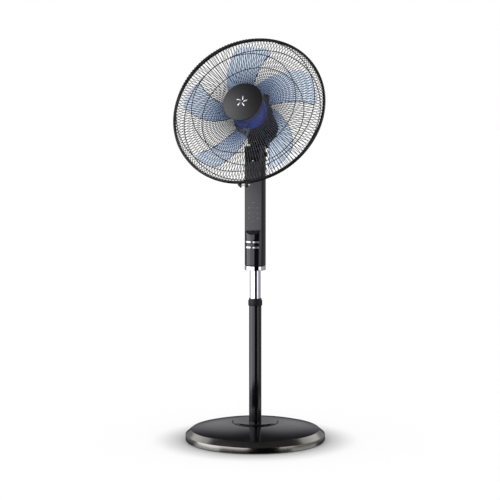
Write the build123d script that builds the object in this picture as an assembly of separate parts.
"""Pedestal fan: weighted round base, telescopic pole, control column and a tilting, swinging fan head.

Millimetres, +Z up.  The origin is on the floor under the pole and the fan faces -Y.
Head pieces are modelled in the head's own frame: x to the right, y up along the swing axis and
z forward along the motor shaft, with the guard ring in the plane z = 0.
"""
from build123d import *
from math import cos, sin, radians
import os

# ---- driving dimensions -------------------------------------------------------------------------
BASE_R, BASE_SHOULDER_R = 200, 183
FOOT_H, PLATE_Z, PLATE_T = 4, 4, 1.2
RIM_BOTTOM_Z, RIM_BAND_Z, RIM_TOP_Z = 2, 18, 32.5
WEIGHT_R, WEIGHT_BORE_R, WEIGHT_T = 176, 70, 6
DOME_T, DOME_TOP_Z, HUB_COVER_R, HUB_COVER_TOP_Z = 2.5, 52.8, 66.5, 55.5
FLANGE_R, FLANGE_BOLT_R, FLANGE_HUB_R, FLANGE_HUB_TOP = 60, 45, 20.5, 48

OUTER_TUBE_R, OUTER_TUBE_BORE_R, OUTER_TUBE_TOP = 17.75, 16.55, 392
INNER_TUBE_R, INNER_TUBE_BORE_R, INNER_TUBE_BOTTOM, INNER_TUBE_TOP = 15.5, 14.5, 140, 545
RUN_GAP, BODY_GAP = 0.08, 0.3
COLLAR_R, COLLAR_BOTTOM, COLLAR_TOP, COLLAR_LIP_TOP = 20, 388, 403, 409.5

COLUMN_R, WALL, RING_BOTTOM, COLUMN_BOTTOM, COLUMN_TOP = 30, 2.2, 490, 502, 841
FLAT_Y, FLAT_WALL, FLAT_BOTTOM, RAMP_BOTTOM, SEAM_Y = 17.3, 3.0, 606, 590, 13
PANEL_HALF_W, PANEL_BOTTOM, PANEL_TOP, PANEL_T = 23.5, 608, 795, 1.5
KEY_ROWS, KEY_X0, KEY_X1, KEY_H, KEY_PROUD, KEY_TRAVEL = (556, 571.5), 3.2, 19.3, 5, 0.8, 1
SHELL_SCREW_X, SHELL_SCREW_ROWS = 20, (600, 776)

PIVOT_Z, SLOT_HALF_W, CLEVIS_T, SLOT_FLOOR = 818, 13.5, 4, 798
BOLT_R, NECK_R, NECK_HALF_W, NECK_POST_R, NECK_FLANGE_R = 4, 17, 13, 12.5, 17.2
TILT = 26.3
SWING_TO_RING, PIVOT_TO_SHAFT = 106.3, 87.3
SWING_Z, PIVOT_Y = -SWING_TO_RING, -PIVOT_TO_SHAFT

SHAFT_R, SHAFT_FRONT, SHAFT_STEP, SHAFT_REAR = 4, 32, -102, -130
HOUSING_R, HOUSING_FRONT, HOUSING_SPLIT, HOUSING_REAR = 50, -46, -75, -147
CHIN_HALF_W, CHIN_Y, CHIN_FRONT, CHIN_REAR, CHIN_CORNER_R = 28, -55, -98, -142, 11
STATOR_R, STATOR_BORE_R, STATOR_Z0, STATOR_Z1 = 44, 22.3, -83, -61
BLADE_COUNT, BLADE_TIP_R, HUB_R, BLADE_FIRST = 5, 195, 50, 24
GUARD_R, GUARD_RIM_R, GUARD_RIM_Z, GUARD_BAND_HALF, LIP_T = 222, 217.6, 1.9, 5, 1.2
WIRE_COUNT, WIRE_R, RING_WIRE_R, RING_ARCS = 32, 0.95, 1.2, 12
FRONT_RINGS = ((151, 47.5), (201, 35))
REAR_RINGS = ((150, -37.5), (200, -27.5))
CAP_R, CAP_BACK, CAP_FRONT = 57, 54, 58
WORM_WHEEL_X, WORM_WHEEL_Z, WORM_WHEEL_R, WORM_TEETH = 17, -119, 11.5, 24
CLUTCH_X, CLUTCH_Z, CLUTCH_TOP, CLUTCH_STEM_R = 5, -106, 97, 4.8

tilt = radians(TILT)
HEAD_UP = Vector(0, sin(tilt), cos(tilt))
HEAD_FORWARD = Vector(0, -cos(tilt), sin(tilt))
HEAD_ORIGIN = Vector(0, 0, PIVOT_Z) + HEAD_UP * PIVOT_TO_SHAFT + HEAD_FORWARD * SWING_TO_RING
HEAD = Plane(origin=HEAD_ORIGIN, x_dir=(1, 0, 0), z_dir=HEAD_FORWARD)


# ---- helpers ------------------------------------------------------------------------------------
def disc(r, z0, z1, x=0, y=0):
    """Cylinder of radius r between two heights."""
    return Pos(x, y, (z0 + z1) / 2) * Cylinder(r, z1 - z0)


def ring(r_out, r_in, z0, z1):
    """Tube between two heights."""
    return disc(r_out, z0, z1) - disc(r_in, z0 - 1, z1 + 1)


def rod_y(r, y0, y1, x=0, z=0):
    """Cylinder along Y between two y values."""
    return Pos(x, (y0 + y1) / 2, z) * Rot(90, 0, 0) * Cylinder(r, y1 - y0)


def rod_x(r, x0, x1, y=0, z=0):
    """Cylinder along X between two x values."""
    return Pos((x0 + x1) / 2, y, z) * Rot(0, 90, 0) * Cylinder(r, x1 - x0)


def block(x0, x1, y0, y1, z0, z1):
    """Box between two corners."""
    return Pos((x0 + x1) / 2, (y0 + y1) / 2, (z0 + z1) / 2) * Box(x1 - x0, y1 - y0, z1 - z0)


def turned(*points):
    """Solid of revolution about Z from an (r, z) outline."""
    outline = Polyline(*[(r, 0, z) for r, z in points], close=True)
    return revolve(make_face(outline), axis=Axis.Z)


def in_head(shape):
    """Carry a shape from the head's frame to the fan's frame."""
    return HEAD.location * shape


def around(shape, count, first=0):
    """Copies of a shape turned about Z."""
    return [Rot(0, 0, first + i * 360 / count) * shape for i in range(count)]


def save(name, *shapes):
    """Write one node; several shapes stay separate solids."""
    solids = [s for shape in shapes for s in shape.solids()]
    export_step(solids[0] if len(solids) == 1 else Compound(children=solids), f"parts/{name}.step")


# ---- base ---------------------------------------------------------------------------------------
def base():
    plate_top = PLATE_Z + PLATE_T
    feet = [disc(9, 0, FOOT_H, 165 * cos(radians(a)), 165 * sin(radians(a))) for a in range(0, 360, 60)]
    save("rubber_feet", *feet)

    screw_places = [(FLANGE_BOLT_R * cos(radians(a)), FLANGE_BOLT_R * sin(radians(a))) for a in (45, 135, 225, 315)]
    plate = disc(196, PLATE_Z, plate_top)
    flange = disc(FLANGE_R, plate_top, plate_top + 3) + disc(FLANGE_HUB_R, plate_top, FLANGE_HUB_TOP)
    flange -= disc(OUTER_TUBE_R, 12, FLANGE_HUB_TOP + 1)
    screws = []
    for x, y in screw_places:
        hole = disc(2.5, PLATE_Z - 1, plate_top + 4, x, y)
        plate -= hole
        flange -= hole
        screws.append(disc(2.5, PLATE_Z, plate_top + 3, x, y) + disc(4.5, plate_top + 3, plate_top + 6, x, y))
    save("base_plate", plate)
    save("pole_flange", flange)
    save("flange_screws", *screws)
    save("base_weight", ring(WEIGHT_R, WEIGHT_BORE_R, plate_top, plate_top + WEIGHT_T))

    rim = turned((BASE_R, RIM_BOTTOM_Z), (BASE_R, RIM_BAND_Z), (BASE_SHOULDER_R, RIM_TOP_Z),
                 (BASE_SHOULDER_R, RIM_TOP_Z - 3.4), (BASE_R - 3, RIM_BAND_Z - 1.4), (BASE_R - 3, RIM_BOTTOM_Z))
    save("base_rim", rim)

    dome_edge_r, flat_r, bore_r = BASE_SHOULDER_R - 0.2, HUB_COVER_R, 30
    outer = ThreePointArc((flat_r, 0, DOME_TOP_Z), (128, 0, 45.6), (dome_edge_r, 0, RIM_TOP_Z))
    edge = Line((dome_edge_r, 0, RIM_TOP_Z), (dome_edge_r - 1.5, 0, RIM_TOP_Z - DOME_T))
    inner = ThreePointArc((dome_edge_r - 1.5, 0, RIM_TOP_Z - DOME_T), (128, 0, 45.6 - DOME_T),
                          (flat_r, 0, DOME_TOP_Z - DOME_T))
    under = Polyline((flat_r, 0, DOME_TOP_Z - DOME_T), (bore_r, 0, DOME_TOP_Z - DOME_T),
                     (bore_r, 0, DOME_TOP_Z), (flat_r, 0, DOME_TOP_Z))
    save("base_cover", revolve(make_face(Wire([outer, edge, inner, *under.edges()])), axis=Axis.Z))

    cover = turned((HUB_COVER_R, DOME_TOP_Z), (HUB_COVER_R, HUB_COVER_TOP_Z - 0.8),
                   (HUB_COVER_R - 0.8, HUB_COVER_TOP_Z),
                   (OUTER_TUBE_R + 0.3, HUB_COVER_TOP_Z), (OUTER_TUBE_R + 0.3, DOME_TOP_Z))
    save("hub_cover", cover)


# ---- pole and height lock -----------------------------------------------------------------------
def pole():
    save("outer_tube", ring(OUTER_TUBE_R, OUTER_TUBE_BORE_R, 12, OUTER_TUBE_TOP))

    collet_bore = INNER_TUBE_R + RUN_GAP
    collet = ring(OUTER_TUBE_R - 0.1, collet_bore, OUTER_TUBE_TOP, OUTER_TUBE_TOP + 12)
    collet += ring(OUTER_TUBE_BORE_R, collet_bore, OUTER_TUBE_TOP - 14, OUTER_TUBE_TOP)
    for a in (0, 60, 120):
        collet -= Rot(0, 0, a) * block(-25, 25, -0.8, 0.8, OUTER_TUBE_TOP + 2, OUTER_TUBE_TOP + 13)
    save("collet", collet)

    bore = OUTER_TUBE_R + BODY_GAP
    lip_bore = INNER_TUBE_R + 0.4
    collar = turned((COLLAR_R, COLLAR_BOTTOM), (COLLAR_R, COLLAR_TOP), (17.2, COLLAR_LIP_TOP),
                    (lip_bore, COLLAR_LIP_TOP), (lip_bore, COLLAR_TOP + 2.2), (bore, COLLAR_TOP + 1.6),
                    (bore, COLLAR_BOTTOM))
    groove = block(COLLAR_R - 0.5, COLLAR_R + 1, -0.9, 0.9, COLLAR_BOTTOM + 2, COLLAR_TOP - 2)
    for cut in around(groove, 24):
        collar -= cut
    save("height_collar", collar)

    save("inner_tube", ring(INNER_TUBE_R, INNER_TUBE_BORE_R, INNER_TUBE_BOTTOM, INNER_TUBE_TOP))
    save("tube_bush", ring(OUTER_TUBE_BORE_R - RUN_GAP, INNER_TUBE_R, INNER_TUBE_BOTTOM + 2, INNER_TUBE_BOTTOM + 24))


# ---- control column -----------------------------------------------------------------------------
def column_outline(r, flat_y, ramp_drop, z0, z1):
    """Round bar whose front is cut flat at -flat_y above a sloping ramp."""
    bar = disc(r, z0, z1)
    cutter = Polyline((-flat_y, z1 + 1), (-flat_y, FLAT_BOTTOM - ramp_drop), (-r - 1, RAMP_BOTTOM - ramp_drop - 1.2),
                      (-r - 1, z1 + 1), close=True)
    face = make_face(Plane.YZ * cutter)
    return bar - extrude(face, amount=r + 1, both=True)


def key_slot(x0, x1, z, margin, y0, y1):
    """Box through which one key slides along Y."""
    return block(x0 - margin, x1 + margin, y0, y1, z - KEY_H / 2 - margin, z + KEY_H / 2 + margin)


def key_places():
    """(name, x0, x1, z) of the four keys, left pair first."""
    places = []
    for row, z in zip(("lower", "upper"), KEY_ROWS):
        places.append((f"key_{row}_left", -KEY_X1, -KEY_X0, z))
        places.append((f"key_{row}_right", KEY_X0, KEY_X1, z))
    return places


def indicator_places():
    """(x, z, width) of the marks on the panel."""
    centre = [(0, 682.5, 9)] + [(0, z, 3) for z in (668, 655.5, 642.5, 629.5)]
    sides = [(side * 13, z, 5) for side in (-1, 1) for z in (668.3, 653, 639)]
    return centre + sides


def column_shell():
    """The hollow column before it is split into front and rear covers."""
    slot_x = SLOT_HALF_W + CLEVIS_T + 0.1
    shell = column_outline(COLUMN_R, FLAT_Y, 0, COLUMN_BOTTOM, COLUMN_TOP)
    top_edges = shell.edges().group_by(Axis.Z)[-1]
    shell = fillet(top_edges, 2.5)
    core = column_outline(COLUMN_R - WALL, FLAT_Y - FLAT_WALL, 0, COLUMN_BOTTOM - 1, SLOT_FLOOR - WALL)
    shell -= core
    ears = column_outline(COLUMN_R - WALL, FLAT_Y - FLAT_WALL, 0, SLOT_FLOOR - WALL - 1, COLUMN_TOP - WALL)
    shell -= ears - block(-slot_x - WALL, slot_x + WALL, -40, 40, SLOT_FLOOR - WALL - 2, COLUMN_TOP)
    shell -= block(-slot_x, slot_x, -40, 40, SLOT_FLOOR, COLUMN_TOP + 1)
    return shell - block(-slot_x, slot_x, -17, 17, SLOT_FLOOR - WALL - 1, SLOT_FLOOR + 1)


def column():
    shell = column_shell()
    envelope = column_outline(COLUMN_R, FLAT_Y, 0, COLUMN_BOTTOM, COLUMN_TOP)
    front = shell & block(-40, 40, -40, -SEAM_Y, COLUMN_BOTTOM - 1, COLUMN_TOP + 1)
    rear = shell & block(-40, 40, -SEAM_Y, 40, COLUMN_BOTTOM - 1, COLUMN_TOP + 1)

    screws = []
    for side in (-1, 1):
        x = side * SHELL_SCREW_X
        for z in SHELL_SCREW_ROWS:
            front += rod_y(4, -FLAT_Y + FLAT_WALL - 0.5, -2, x, z) & envelope
            rear += rod_y(4, -2, 22, x, z) & envelope
            front -= rod_y(1.5, -10, -1, x, z)
            rear -= rod_y(1.7, -3, 23, x, z)
            rear -= rod_y(3.1, 14, 30, x, z)
            screws.append(rod_y(1.5, -10, 14, x, z) + rod_y(2.8, 14, 16.4, x, z))
    save("column_screws", *screws)

    front -= block(-PANEL_HALF_W, PANEL_HALF_W, -FLAT_Y - 1, -FLAT_Y + PANEL_T, PANEL_BOTTOM, PANEL_TOP)
    for name, x0, x1, z in key_places():
        front -= key_slot(x0, x1, z, BODY_GAP, -40, -SEAM_Y)
        cap = key_slot(x0, x1, z, 0, -40, -17) & disc(COLUMN_R + KEY_PROUD, z - KEY_H, z + KEY_H)
        flange = key_slot(x0, x1, z, 1, -17.4, -15.5)
        save(name, cap + flange)
    save("column_front_cover", front)

    gland_z = 575
    rear -= rod_y(5.1, 20, 40, 0, gland_z)
    rear -= rod_x(BOLT_R + 0.3, -WALL * 10, 40, 0, PIVOT_Z)
    save("column_rear_shell", rear)
    gland = rod_y(5, 25.5, 36, 0, gland_z) + rod_y(7.5, 23.5, 25.5, 0, gland_z)
    save("cord_gland", gland - rod_y(3.4, 20, 40, 0, gland_z))

    half_w = PANEL_HALF_W - 0.1
    panel = block(-half_w, half_w, -FLAT_Y, -FLAT_Y + PANEL_T, PANEL_BOTTOM + 0.1, PANEL_TOP - 0.1)
    lenses = []
    for x, z, width in indicator_places():
        window = block(x - width / 2, x + width / 2, -FLAT_Y - 0.2, -FLAT_Y + PANEL_T, z - 0.9, z + 0.9)
        panel -= window
        lenses.append(window)
    save("control_panel", panel)
    save("indicator_lenses", *lenses)

    chrome = turned((COLUMN_R, COLUMN_BOTTOM), (COLUMN_R, RING_BOTTOM + 1), (COLUMN_R - 1, RING_BOTTOM),
                    (INNER_TUBE_R + 0.3, RING_BOTTOM), (INNER_TUBE_R + 0.3, RING_BOTTOM + 3),
                    (COLUMN_R - 3, RING_BOTTOM + 3), (COLUMN_R - 3, COLUMN_BOTTOM))
    save("chrome_ring", chrome)

    socket = disc(26.5, RING_BOTTOM + 3, INNER_TUBE_TOP + 4)
    socket -= disc(INNER_TUBE_R, RING_BOTTOM + 2, INNER_TUBE_TOP)
    socket -= disc(8, INNER_TUBE_TOP - 1, INNER_TUBE_TOP + 5)
    socket -= rod_y(2.5, 10, 30, 0, 520)
    save("tube_socket", socket)
    save("socket_screw", rod_y(2.5, INNER_TUBE_R, 26.5, 0, 520))


def electronics():
    board_y = -10
    board = block(-21, 21, board_y, board_y + 1.6, 551, 580)
    switches = []
    for name, x0, x1, z in key_places():
        x = (x0 + x1) / 2
        switch_body = block(x - 3, x + 3, board_y - 3, board_y, z - 3, z + 3)
        switches.append(switch_body + rod_y(1.7, -14.3, board_y - 2, x, z))
    save("tact_switches", *switches)
    leds = [block(x - 1, x + 1, board_y - 1.4, board_y, z - 0.8, z + 0.8) for x, z, _ in indicator_places()]
    main_board = block(-21, 21, board_y, board_y + 1.6, 622, 694) + block(-13, 13, board_y + 1.6, 6, 640, 664)
    for led in leds:
        main_board += led
    save("circuit_boards", board, main_board)
    save("capacitor", block(-14, 14, -4, 12, 704, 740))


def tilt_hinge():
    outer_x = SLOT_HALF_W + CLEVIS_T
    clevis = block(-outer_x, outer_x, -16.5, 16.5, SLOT_FLOOR - 8, SLOT_FLOOR)
    clevis &= column_outline(COLUMN_R - WALL - 0.2, FLAT_Y - FLAT_WALL - 0.2, 0, SLOT_FLOOR - 9, SLOT_FLOOR)
    for side in (-1, 1):
        x0, x1 = sorted((side * SLOT_HALF_W, side * outer_x))
        ear = block(x0, x1, -14, 14, SLOT_FLOOR, PIVOT_Z) + rod_x(16.5, x0, x1, 0, PIVOT_Z)
        clevis += ear & block(x0, x1, -16.5, 16.5, SLOT_FLOOR, COLUMN_TOP)
    clevis -= rod_x(BOLT_R, -30, 30, 0, PIVOT_Z)
    save("tilt_clevis", clevis)

    head_x = outer_x + WALL + 0.1
    bolt = rod_x(BOLT_R, -head_x, COLUMN_R + 3, 0, PIVOT_Z) + rod_x(7, -head_x - 3.5, -head_x, 0, PIVOT_Z)
    save("tilt_bolt", bolt)

    knob = rod_x(6.8, COLUMN_R + BODY_GAP, COLUMN_R + 5.5, 0, PIVOT_Z)
    knob = fillet(knob.edges().sort_by(Axis.X)[-1], 1)
    knob -= rod_x(BOLT_R + RUN_GAP, COLUMN_R, COLUMN_R + 3.3, 0, PIVOT_Z)
    save("tilt_knob", knob)


# ---- neck and swing joint -----------------------------------------------------------------------
def neck():
    barrel = rod_x(NECK_R, -NECK_HALF_W, NECK_HALF_W, PIVOT_Y, SWING_Z)
    post = rod_y(NECK_POST_R, PIVOT_Y, -58, 0, SWING_Z)
    flange_top = BODY_GAP - CHIN_Y
    flange = turned((0, flange_top), (NECK_FLANGE_R, flange_top), (NECK_FLANGE_R, 63), (NECK_POST_R, 68), (0, 68))
    body = barrel + post + Pos(0, 0, SWING_Z) * Rot(90, 0, 0) * flange
    body -= rod_x(BOLT_R + RUN_GAP, -20, 20, PIVOT_Y, SWING_Z)
    body -= rod_y(5, -72, -50, 0, SWING_Z)
    bush_recess = rod_y(10, -58, -50, 0, SWING_Z)
    save("neck", in_head(body - bush_recess))
    retaining_head = rod_y(6.5, -29.4, -27.5, 0, SWING_Z)
    shaft = rod_y(5, -72, -30, 0, SWING_Z) + retaining_head + rod_y(4, -30, -29, 0, SWING_Z)
    save("swivel_shaft", in_head(shaft))


# ---- motor, gearbox and housing -----------------------------------------------------------------
def rear_cover_profile(offset):
    """Outline of the rear cover's outside, or of its inside when offset is its wall."""
    points = [(HOUSING_R, HOUSING_SPLIT), (49.8, -100), (48.5, -120), (46.5, -136), (42, -144), (33, HOUSING_REAR)]
    return [(r - offset, max(z, HOUSING_REAR + offset)) for r, z in points]


def chin(offset):
    """Squared bulge below the rear cover, around the swing axis."""
    half_w = CHIN_HALF_W - offset
    bulge = block(-half_w, half_w, CHIN_Y + offset, -30, CHIN_REAR + offset, CHIN_FRONT - offset)
    return fillet(bulge.edges().filter_by(Axis.Y), CHIN_CORNER_R - offset)


def housing():
    front = turned((HOUSING_R, HOUSING_SPLIT), (HOUSING_R, HOUSING_FRONT - 3.5), (HOUSING_R - 3.5, HOUSING_FRONT),
                   (24, HOUSING_FRONT), (24, -34), (11, -34), (11, HOUSING_FRONT - 2.5),
                   (HOUSING_R - 4, HOUSING_FRONT - 2.5), (HOUSING_R - 2.5, HOUSING_FRONT - 4),
                   (HOUSING_R - 2.5, HOUSING_SPLIT))
    save("motor_front_cover", in_head(front))

    outside = turned(*rear_cover_profile(0), (0, HOUSING_REAR), (0, HOUSING_SPLIT))
    inside = turned(*rear_cover_profile(WALL), (0, HOUSING_REAR + WALL), (0, HOUSING_SPLIT))
    rear = outside + chin(0) - inside - chin(WALL)
    rear -= rod_y(10.5, -80, -20, 0, SWING_Z)
    rear -= rod_y(5.5, 20, 80, CLUTCH_X, CLUTCH_Z)
    screws = []
    for x in (-14, 14):
        rear -= disc(1.7, HOUSING_REAR - 1, HOUSING_REAR + 4, x)
        screws.append(disc(1.5, HOUSING_REAR, -137, x) + disc(2.9, HOUSING_REAR - 1.6, HOUSING_REAR, x))
    save("motor_rear_cover", in_head(rear))
    save("rear_cover_screws", *[in_head(s) for s in screws])


def motor():
    bearing_bore = SHAFT_R + 0.06
    bolt_places = [(39.5 * cos(radians(a)), 39.5 * sin(radians(a))) for a in (45, 135, 225, 315)]

    front_bell = disc(47, -74, -50) - disc(STATOR_R, -75, -53) + disc(10.5, -50, -42)
    front_bell -= disc(8, -60, -41)
    rear_bell = disc(47, -96, -74) - disc(STATOR_R, -93, -73) + disc(10.5, -102, -96)
    rear_bell -= disc(8, -103, -90)
    rear_bell -= rod_y(CLUTCH_STEM_R + 0.5, 3.5, 25, CLUTCH_X, CLUTCH_Z)
    stator = ring(STATOR_R, STATOR_BORE_R, STATOR_Z0, STATOR_Z1)
    slot = disc(3.2, STATOR_Z0 - 1, STATOR_Z1 + 1, 30)
    for cut in around(slot, 8):
        stator -= cut
    bolts = []
    for x, y in bolt_places:
        hole = disc(1.6, -100, -45, x, y)
        front_bell -= hole
        rear_bell -= hole
        stator -= hole
        bolts.append(disc(1.6, -96, -49, x, y) + disc(3, -98, -96, x, y))
    windings = [ring(36, 25, STATOR_Z1, -55), ring(36, 25, -90, STATOR_Z0)]
    save("front_endbell", in_head(front_bell))
    save("rear_endbell", in_head(rear_bell))
    bearings = [ring(8, bearing_bore, -52.5, -43), ring(8, bearing_bore, -101, -92)]
    save("shaft_bearings", *[in_head(b) for b in bearings])
    save("stator_core", in_head(stator))
    save("stator_windings", *[in_head(w) for w in windings])
    save("motor_bolts", *[in_head(b) for b in bolts])
    save("rotor_core", in_head(ring(22, SHAFT_R, STATOR_Z0, STATOR_Z1)))

    shaft = disc(SHAFT_R, SHAFT_STEP, SHAFT_FRONT) + disc(3, SHAFT_REAR, SHAFT_STEP)
    shaft -= rod_y(1.5, -10, 10, 0, -17)
    save("motor_shaft", in_head(shaft))
    save("drive_pin", in_head(rod_y(1.5, -11, 11, 0, -17)))


def gearbox():
    case = block(-20, 32, -22, 22, -138, -102) - block(-17.5, 29.5, -19.5, 19.5, -135.5, -104.5)
    case += rod_y(10, -55, -21, 0, SWING_Z) - block(-30, 30, -19.5, 0, -135, -104.5)
    case -= rod_y(7, -56, -27, 0, SWING_Z)
    case -= disc(11, -104.6, -100)
    case -= rod_y(CLUTCH_STEM_R + 0.5, 3.5, 25, CLUTCH_X, CLUTCH_Z)
    wheel_bore = 3 + RUN_GAP
    case -= rod_y(wheel_bore, -25, 25, WORM_WHEEL_X, WORM_WHEEL_Z)
    for x in (-14, 14):
        case += disc(4, HOUSING_REAR + WALL, -137, x)
        case -= disc(1.5, HOUSING_REAR, -137, x)
    save("gearbox_case", in_head(case))

    bush = rod_y(7, -55, -30, 0, SWING_Z) + rod_y(9.5, -57.6, -55, 0, SWING_Z)
    save("swivel_bush", in_head(bush - rod_y(5 + RUN_GAP, -60, -29, 0, SWING_Z)))

    worm = ring(4.2, 3, -128, -110)
    for i in range(6):
        z = -126.5 + 3 * i
        worm += turned((4, z - 1.2), (5.2, z - 0.4), (5.2, z + 0.4), (4, z + 1.2), (3.5, z + 1.2), (3.5, z - 1.2))
    save("worm", in_head(worm))

    wheel = rod_y(WORM_WHEEL_R - 1.2, -4, 4) + rod_y(3, -26, 22)
    for i in range(WORM_TEETH):
        tooth = block(-0.7, 0.7, -4, 4, WORM_WHEEL_R - 1.5, WORM_WHEEL_R)
        wheel += Rot(0, i * 360 / WORM_TEETH, 0) * tooth
    crank = block(0, 7, -29, -26, -2.5, 2.5) + rod_y(4, -29, -26) + rod_y(2.5, -29, -26, 7, 0)
    crank += rod_y(1.6, -34, -28, 7, 0)
    place = Pos(WORM_WHEEL_X, 0, WORM_WHEEL_Z)
    save("worm_wheel", in_head(place * wheel))
    save("crank_arm", in_head(place * crank))

    stem = rod_y(CLUTCH_STEM_R, 12.5, 74, CLUTCH_X, CLUTCH_Z)
    head = rod_y(10, 70, CLUTCH_TOP, CLUTCH_X, CLUTCH_Z)
    head = fillet(head.edges().filter_by(GeomType.CIRCLE), 2.5)
    save("clutch_knob", in_head(stem + head))


# ---- blade and guards ---------------------------------------------------------------------------
def blade_section(r, centre, width):
    """Thin section across one blade, normal to the radius at the angle centre."""
    a = radians(centre)
    half = r * sin(radians(width / 2))
    radial = Vector(cos(a), sin(a), 0)
    chord = Vector(-sin(a) * half, cos(a) * half, 17)
    plane = Plane(origin=radial * r * cos(radians(width / 2)), x_dir=chord, z_dir=radial)
    return plane * Rectangle(2 * chord.length, 2.2)


def fan_blade():
    stations = ((46, 27, 58), (90, 19, 44), (140, 7.5, 35), (BLADE_TIP_R, -3.5, 30))
    blade = loft([blade_section(*s) for s in stations])
    hub = disc(HUB_R, -20, 20) - disc(HUB_R - 3, -21, 17) + disc(12, -20, 18)
    outside = disc(BLADE_TIP_R + 10, -30, 30) - disc(HUB_R - 2, -31, 31)
    fan = hub
    for copy in around(blade & outside, BLADE_COUNT, BLADE_FIRST):
        fan += copy
    fan -= disc(SHAFT_R, -30, 30)
    fan -= block(-1.7, 1.7, -13, 13, -21, -15.5)
    save("fan_blade", in_head(fan))
    nut = disc(15, 20, 36) - disc(SHAFT_R, 19, SHAFT_FRONT)
    save("blade_nut", in_head(fillet(nut.edges().group_by(Axis.Z)[-1], 5)))


def wire_loop(r, z, wire_r):
    """A ring of round wire, as arcs butted end to end."""
    section = Plane(origin=(r, 0, z), z_dir=(0, 1, 0)) * Circle(wire_r)
    arc = revolve(section, axis=Axis.Z, revolution_arc=360 / RING_ARCS)
    return around(arc, RING_ARCS)


def spokes(points, count, shift):
    """Radial guard wires along an (r, z) path with rounded corners."""
    path = FilletPolyline(*[(r, 0, z) for r, z in points], radius=9)
    start = points[0]
    step = Vector(points[1][0] - start[0], 0, points[1][1] - start[1])
    section = Plane(origin=(start[0], 0, start[1]), z_dir=step) * Circle(WIRE_R)
    return around(sweep(section, path=path), count, shift)


def guards():
    lift = WIRE_R + RING_WIRE_R
    rim_wire = 1.8
    (r1, z1), (r2, z2) = FRONT_RINGS
    spoke_rim = GUARD_RIM_R - rim_wire - WIRE_R
    path = [(52, 54 - WIRE_R), (r1, z1 + lift), (r2, z2 + lift), (spoke_rim, 22), (spoke_rim, GUARD_RIM_Z)]
    plate = disc(51.9, 50.5, CAP_BACK - 0.05)
    loops = wire_loop(GUARD_RIM_R, GUARD_RIM_Z, rim_wire)
    loops += wire_loop(r1, z1, RING_WIRE_R) + wire_loop(r2, z2, RING_WIRE_R)
    save("front_guard", *[in_head(s) for s in loops + [plate] + spokes(path, WIRE_COUNT, 0)])

    (r1, z1), (r2, z2) = REAR_RINGS
    path = [(57.5, -44.2), (r1, z1 - lift), (r2, z2 - lift), (spoke_rim, -18), (spoke_rim, -GUARD_RIM_Z)]
    plate = ring(57.5, 24.1, -46, -43)
    loops = wire_loop(GUARD_RIM_R, -GUARD_RIM_Z, rim_wire)
    loops += wire_loop(r1, z1, RING_WIRE_R) + wire_loop(r2, z2, RING_WIRE_R)
    save("rear_guard", *[in_head(s) for s in loops + [plate] + spokes(path, WIRE_COUNT, 180 / WIRE_COUNT)])

    nut = ring(33, 24.05, -43, -35)
    for cut in around(disc(3, -44, -34, 34), 12):
        nut -= cut
    save("rear_guard_nut", in_head(nut))
    cap = disc(CAP_R, CAP_BACK, CAP_FRONT)
    save("guard_cap", in_head(fillet(cap.edges().group_by(Axis.Z)[-1], 2)))

    band = ring(GUARD_R, GUARD_R - 2.5, -GUARD_BAND_HALF, GUARD_BAND_HALF)
    for side in (-1, 1):
        z0, z1 = sorted((side * (GUARD_BAND_HALF - LIP_T), side * GUARD_BAND_HALF))
        band += ring(GUARD_R, GUARD_RIM_R - 1.5, z0, z1)
    lug_angle = -84.5
    lug = Polygon((GUARD_R - 1.5, 6.2), (GUARD_R + 11.5, 6.6), (GUARD_R + 11.5, 10), (GUARD_R - 1.5, 20), align=None)
    lug = extrude(lug, amount=GUARD_BAND_HALF - 0.2, both=True)
    clamp_hole = rod_y(2.1, -20, 20, GUARD_R + 6, 0) + rod_y(4, 14.8, 25, GUARD_R + 6, 0)
    for half in (lug, mirror(lug, about=Plane.XZ)):
        band += Rot(0, 0, lug_angle) * half
    band -= Rot(0, 0, lug_angle) * clamp_hole
    band -= Rot(0, 0, lug_angle) * block(GUARD_R - 15, GUARD_R + 1, -0.6, 0.6, -12, 12)
    save("guard_ring", in_head(band))
    screw = rod_y(2, -16, 15, GUARD_R + 6, 0) + rod_y(3.6, 15, 18.4, GUARD_R + 6, 0)
    save("clamp_screw", in_head(Rot(0, 0, lug_angle) * screw))


os.makedirs("parts", exist_ok=True)
base()
pole()
column()
electronics()
tilt_hinge()
neck()
housing()
motor()
gearbox()
fan_blade()
guards()
